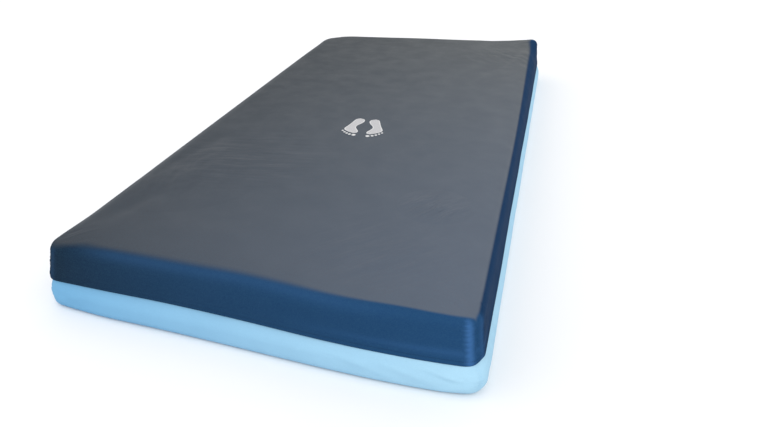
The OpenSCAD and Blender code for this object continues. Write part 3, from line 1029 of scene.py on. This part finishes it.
def stitch(skin, middle, direction, outward, verts, faces):
    """One short thread that stands out of the fabric in the middle and dips in at both ends."""
    out = Vector(outward)
    place, _, _, _ = skin.ray_cast(Vector(middle), -out)
    if place is None:
        return
    run = Vector(direction) - out * Vector(direction).dot(out)
    run.normalize()
    side = out.cross(run)
    rings = []
    for share, size, lift in ((-1.0, 0.45, -0.6), (-0.5, 1.0, 0.5), (0.5, 1.0, 0.5), (1.0, 0.45, -0.6)):
        centre = place + run * (share * STITCH_L / 2) + out * (lift * THREAD_R)
        rings.append(list(range(len(verts), len(verts) + THREAD_SIDES)))
        for k in range(THREAD_SIDES):
            a = 2 * math.pi * k / THREAD_SIDES
            verts.append(centre + (side * math.cos(a) + out * math.sin(a)) * (size * THREAD_R))
    faces += [tuple(rings[0][::-1]), tuple(rings[-1])]
    for here, there in zip(rings, rings[1:]):
        faces += band_faces(there, here)


def make_stitches(name, skin, places, finish):
    """places holds each stitch's middle, a little outside the fabric, its direction and the way out."""
    verts, faces = [], []
    for middle, direction, outward in places:
        stitch(skin, middle, direction, outward, verts, faces)
    return finish_piece(new_object(name, verts, faces), None, finish)


def corner_seam_places(z_low, z_high, shape):
    """A row of stitches on either side of each corner seam."""
    places = []
    for corner in CORNERS:
        for side in (-1, 1):
            a = math.pi / 4 + side * 0.0024 / CORNER_R
            x, y = in_corner(corner, a, CORNER_R + CLEAR_OF_FABRIC)
            outward = (corner[0] * math.cos(a), corner[1] * math.sin(a), 0.0)
            for z in np.arange(z_low, z_high, STITCH_PITCH):
                places.append((shape([(x, y, z)])[0], (0.0, 0.0, 1.0), outward))
    return places


def hem_places(height, shape):
    """A row of stitches all the way round the flap."""
    points, outward = perimeter(-CLEAR_OF_FABRIC, STITCH_PITCH)
    flat = np.column_stack([points, np.full(len(points), height)])
    return [(middle, (-o[1], o[0], 0.0), (o[0], o[1], 0.0)) for middle, o in zip(shape(flat), outward)]


# ---------------- foot-sole print
def curve_through(keys, count):
    """Evenly numbered points on a smooth curve through the keys."""
    keys = np.array(keys, float)
    padded = np.vstack([2 * keys[0] - keys[1], keys, 2 * keys[-1] - keys[-2]])
    result = []
    for t in np.linspace(0, len(keys) - 1, count):
        k = min(int(t), len(keys) - 2)
        u = t - k
        p0, p1, p2, p3 = padded[k:k + 4]
        result.append(0.5 * (2 * p1 + (p2 - p0) * u + (2 * p0 - 5 * p1 + 4 * p2 - p3) * u ** 2
                             + (3 * p1 - p0 - 3 * p2 + p3) * u ** 3))
    return np.array(result)


# (across, along) from the heel, with across growing towards the little toe
SOLE_INNER = ((0.003, -0.001), (-0.009, 0.006), (-0.013, 0.020), (-0.009, 0.038), (-0.001, 0.056),
              (0.001, 0.074), (-0.006, 0.092), (-0.012, 0.105), (-0.011, 0.117), (-0.002, 0.122))
SOLE_OUTER = ((0.005, -0.001), (0.014, 0.007), (0.018, 0.024), (0.021, 0.042), (0.025, 0.062),
              (0.029, 0.078), (0.031, 0.090), (0.027, 0.101), (0.015, 0.113), (0.001, 0.121))
TOES = (
    # across, along, half width, half length
    (-0.0065, 0.1370, 0.0058, 0.0066),
    (0.0060, 0.1335, 0.0042, 0.0050),
    (0.0155, 0.1270, 0.0038, 0.0046),
    (0.0238, 0.1188, 0.0035, 0.0042),
    (0.0312, 0.1085, 0.0032, 0.0038),
)


def on_top(skin, points, lift):
    """Points laid on the top panel from straight above, a little proud of it."""
    result = []
    for x, y in points:
        place, _, _, _ = skin.ray_cast(Vector((x, y, TOP_Z + 0.1)), Vector((0.0, 0.0, -1.0)))
        result.append((x, y, place.z + lift))
    return result


def make_print(name, skin, heel, toeward, mirrored=False):
    """One foot sole with its five toes, in two inks, from its heel point and the direction of its toes."""
    forward = np.array(toeward) / np.linalg.norm(toeward)
    outer = np.array((forward[1], -forward[0])) * (1 if mirrored else -1)
    rows, turns = 34, 16
    shares = [0.0, 0.09, *np.linspace(0.22, 0.78, 6), 0.91, 1.0]
    width = len(shares)
    edges = zip(curve_through(SOLE_INNER, rows + 1), curve_through(SOLE_OUTER, rows + 1))
    local = [a + (b - a) * share for a, b in edges for share in shares]
    faces, inks = [], []
    for row in range(rows):
        for column in range(width - 1):
            a = row * width + column
            faces.append((a, a + 1, a + width + 1, a + width))
            inks.append(int(column in (0, width - 2) or row in (0, rows - 1)))
    for across_toe, along_toe, half_w, half_l in TOES:
        inside = list(range(len(local), len(local) + turns))
        for share in (0.5, 1.0):
            local += [(across_toe + share * half_w * math.cos(a), along_toe + share * half_l * math.sin(a))
                      for a in np.linspace(0, 2 * math.pi, turns, endpoint=False)]
        faces += [tuple(inside), *band_faces(inside, [k + turns for k in inside])]
        inks += [1] * (1 + turns)
    flat = [np.array(heel) + outer * sideways + forward * ahead for sideways, ahead in local]
    sole = new_object(name, on_top(skin, flat, 0.00045), faces, (PRINT_GREY, PRINT_WHITE))
    sole.data.polygons.foreach_set("material_index", inks)
    if sum(polygon.normal.z for polygon in sole.data.polygons) < 0:
        sole.data.flip_normals()
    thicken(sole, 0.0006)
    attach(sole, TOP_BODY)
    return sole


# ---------------- foam core
def make_foam(node, finish, voxel):
    """A cut block of foam: the CAD's shape on an even mesh, slightly soft and uneven."""
    block = bpy.data.objects.new(node + "_block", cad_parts[node].data.copy())
    bpy.context.scene.collection.objects.link(block)
    remesh = block.modifiers.new("even", "REMESH")
    remesh.mode = "VOXEL"
    remesh.voxel_size = voxel
    ease = block.modifiers.new("ease", "SMOOTH")
    ease.factor = 0.5
    ease.iterations = 2
    apply_modifiers(block)
    points, normals = get_points(block), get_normals(block)
    uneven = 0.0005 * (soft_noise(points, 22.0, 31) - 0.6)
    set_points(block, settle(points + normals * uneven[:, None]))
    finish_piece(block, node, finish)


CELL_COLUMNS, CELL_ROWS = 8, 21
CUT_W, CUT_DEPTH = 0.004, 0.022
CELL_CROWN = 0.0012
CORE_CORNER_R = 0.0256
CORE_EDGE_R = 0.020


def cell_lines(half, cells):
    """Grid lines across one direction of the topper, each with how deep the cuts are there."""
    pitch = 2 * half / cells
    at_edge = [(offset, 0.0) for offset in (0.0, 0.0035, 0.008, 0.013, 0.0185)]
    at_cut = [(0.0, 1.0), (0.375 * CUT_W, 1.0), (0.5 * CUT_W, 0.10), (CUT_W, 0.02)]
    lines = []
    for cell in range(cells):
        start, end = -half + cell * pitch, -half + (cell + 1) * pitch
        lines += [(start + offset, depth) for offset, depth in (at_cut if cell > 0 else at_edge)]
        lines += [(start + pitch * share, 0.0) for share in (0.25, 0.5, 0.75)]
        last = at_cut[:0:-1] if cell < cells - 1 else at_edge[::-1]
        lines += [(end - offset, depth) for offset, depth in last]
    return np.array(lines)


def into_round_corner(x, y, half_w, half_l, radius):
    """Eases a rectangle's grid into round corners, and gives each point's distance from the outline."""
    cx, cy = np.abs(x) - (half_w - radius), np.abs(y) - (half_l - radius)
    at_corner = (cx > 0) & (cy > 0)
    longest = np.maximum(np.maximum(cx, cy), 1e-9)
    shrink = longest / np.maximum(np.hypot(cx, cy), 1e-9)
    nx = np.where(at_corner, np.sign(x) * (half_w - radius + cx * shrink), x)
    ny = np.where(at_corner, np.sign(y) * (half_l - radius + cy * shrink), y)
    distance = np.where(at_corner, radius - longest, np.minimum(radius - cx, radius - cy))
    return nx, ny, distance


def make_topper():
    """Slow-recovery foam cut into square cells from above, with a rounded upper edge."""
    half_w, half_l = CORE_HI.x, CORE_HI.y
    x_lines, y_lines = cell_lines(half_w, CELL_COLUMNS), cell_lines(half_l, CELL_ROWS)
    gx, gy = np.meshgrid(x_lines[:, 0], y_lines[:, 0], indexing="ij")
    cut = np.maximum.outer(x_lines[:, 1], y_lines[:, 1]) * CUT_DEPTH
    nx, ny, distance = into_round_corner(gx, gy, half_w, half_l, CORE_CORNER_R)
    edge = np.clip(CORE_EDGE_R - distance, 0.0, CORE_EDGE_R)
    rounding = CORE_EDGE_R - np.sqrt(np.maximum(CORE_EDGE_R ** 2 - edge ** 2, 0.0))
    bulge_x = np.abs(np.sin(math.pi * (gx / (2 * half_w) + 0.5) * CELL_COLUMNS))
    bulge_y = np.abs(np.sin(math.pi * (gy / (2 * half_l) + 0.5) * CELL_ROWS))
    crown = CELL_CROWN * bulge_x * bulge_y * (cut == 0) * (rounding == 0)
    top = CORE_HI.z - CELL_CROWN - np.maximum(rounding, cut) + crown
    rows, columns = gx.shape[0] - 1, gx.shape[1] - 1
    upper = np.stack([nx, ny, top], -1).reshape(-1, 3)
    lower = np.stack([nx, ny, np.full(gx.shape, CORE_LO.z)], -1).reshape(-1, 3)
    verts = [*upper, *lower]
    below = len(upper)
    faces = grid_faces(0, rows, columns) + [face[::-1] for face in grid_faces(below, rows, columns)]
    rings = [[row * (columns + 1) + column for row, column in rim(rows, columns)]]
    for share in (0.25, 0.5, 0.75):
        rings.append(list(range(len(verts), len(verts) + len(rings[0]))))
        verts += [upper[k] * (1 - share) + lower[k] * share for k in rings[0]]
    rings.append([below + k for k in rings[0]])
    for here, there in zip(rings, rings[1:]):
        faces += band_faces(here, there)
    topper = new_object("topper_foam", settle(np.array(verts)), faces)
    tidy_normals(topper)
    finish_piece(topper, "topper", VISCO_FOAM)
    return topper


# ---------------- camera, lights and floor
def make_camera():
    """The photograph's viewpoint: over the foot end, to the right of the middle, looking down and left. It
    was solved from the mattress's outline, and the shift puts the mattress left of the middle."""
    place = (0.4912, -1.9752, 0.835)
    yaw, pitch, roll = 0.398, -0.4707, -0.052
    focal_share = 0.8688
    forward = Vector((-math.sin(yaw) * math.cos(pitch), math.cos(yaw) * math.cos(pitch), math.sin(pitch)))
    level = Vector((math.cos(yaw), math.sin(yaw), 0.0))
    above = level.cross(forward)
    right = level * math.cos(roll) + above * math.sin(roll)
    up = above * math.cos(roll) - level * math.sin(roll)
    data = bpy.data.cameras.new("camera")
    data.sensor_fit = "HORIZONTAL"
    data.sensor_width = 36.0
    data.lens = focal_share * data.sensor_width
    data.shift_x = 0.15
    data.clip_start = 0.05
    camera = bpy.data.objects.new("camera", data)
    camera.matrix_world = Matrix.Translation(place) @ Matrix((right, up, -forward)).transposed().to_4x4()
    bpy.context.scene.collection.objects.link(camera)
    bpy.context.scene.camera = camera


def soft_sun(name, towards, strength, spread_degrees):
    data = bpy.data.lights.new(name, "SUN")
    data.energy = strength
    data.angle = math.radians(spread_degrees)
    light = bpy.data.objects.new(name, data)
    light.rotation_euler = Vector(towards).to_track_quat("-Z", "Y").to_euler()
    bpy.context.scene.collection.objects.link(light)


def make_studio():
    half, just_below = 40.0, -0.0005
    corners = [(-half, -half, 0), (half, -half, 0), (half, half, 0), (-half, half, 0)]
    floor = new_object("studio_floor", corners, [(0, 1, 2, 3)])
    floor.location.z = just_below
    n = Nodes("studio_floor_paint")
    tone = n.noise(n.position(), 1.5, 2.0)
    colour = n.mix(tone, (0.86, 0.87, 0.88), (0.88, 0.88, 0.89))
    paint = n.finish(colour, n.remap(tone, 0.3, 0.7, 0.7, 0.8), n.bump(tone, 0.0001, 0.1))
    floor.data.materials.append(paint)
    world = bpy.data.worlds.new("studio_world")
    world.use_nodes = True
    background = world.node_tree.nodes["Background"]
    background.inputs["Color"].default_value = (0.985, 0.99, 1.0, 1.0)
    background.inputs["Strength"].default_value = 0.95
    bpy.context.scene.world = world
    soft_sun("key", (-0.45, 0.75, -1.0), 1.0, 35)
    soft_sun("fill", (0.9, 0.5, -0.9), 0.35, 60)
    bpy.context.scene.view_settings.view_transform = "Standard"


# ---------------- build
make_camera()
make_studio()
top_cover = make_top_cover()
base_cover = make_base_cover()
flap_hem = make_flap_hem()
upper_tape = make_upper_tape()
lower_tape = make_lower_tape()
upper_teeth = make_teeth("upper_zip_teeth_row", "upper_zip_teeth", TEETH_HI.z, TEETH_LO.z, NAVY_TEETH)
lower_teeth = make_teeth("lower_zip_teeth_row", "lower_zip_teeth", LOWER_TEETH_LO.z, LOWER_TEETH_HI.z,
                         SKY_TEETH)
top_tapes = make_corner_tapes("top_seam_tape_strips", "top_seam_tapes", 0.0044, NAVY_TAPE)
base_tapes = make_corner_tapes("base_seam_tape_strips", "base_seam_tapes", 0.0034, SKY_TAPE)
label = make_label()

top_skin, base_skin = skin_of(top_cover), skin_of(base_cover)
top_places = corner_seam_places(HEM_Z + 0.012, TOP_Z - 0.024, settle_flap)
base_places = corner_seam_places(0.020, 0.054, settle)
top_stitches = make_stitches("top_corner_stitches", top_skin, top_places, NAVY_SEAM)
hem_stitches = make_stitches("hem_topstitch", top_skin, hem_places(HEM_Z + 0.0075, settle_flap), NAVY_HEM)
base_stitches = make_stitches("base_corner_stitches", base_skin, base_places, SKY_SEAM)
left_sole = make_print("print_left_sole", top_skin, heel=(0.003, -0.098), toeward=(0.04, -0.99),
                       mirrored=True)
right_sole = make_print("print_right_sole", top_skin, heel=(0.042, -0.098), toeward=(0.143, -0.99))

make_foam("base_foam", FIRM_FOAM, 0.010)
for node in ("left_rail", "right_rail", "head_rail", "foot_rail"):
    make_foam(node, FIRM_FOAM, 0.008)
for node in ("head_zone", "torso_zone", "leg_zone"):
    make_foam(node, SUPPORT_FOAM, 0.008)
make_foam("heel_zone", HEEL_FOAM, 0.008)
topper = make_topper()

for node in ("upper_zip_stop", "lower_zip_stop", "zip_insertion_pin", "zip_retainer_box",
             "left_slider", "right_slider", "left_puller", "right_puller"):
    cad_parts[node].data.materials.clear()
    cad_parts[node].data.materials.append(METAL)
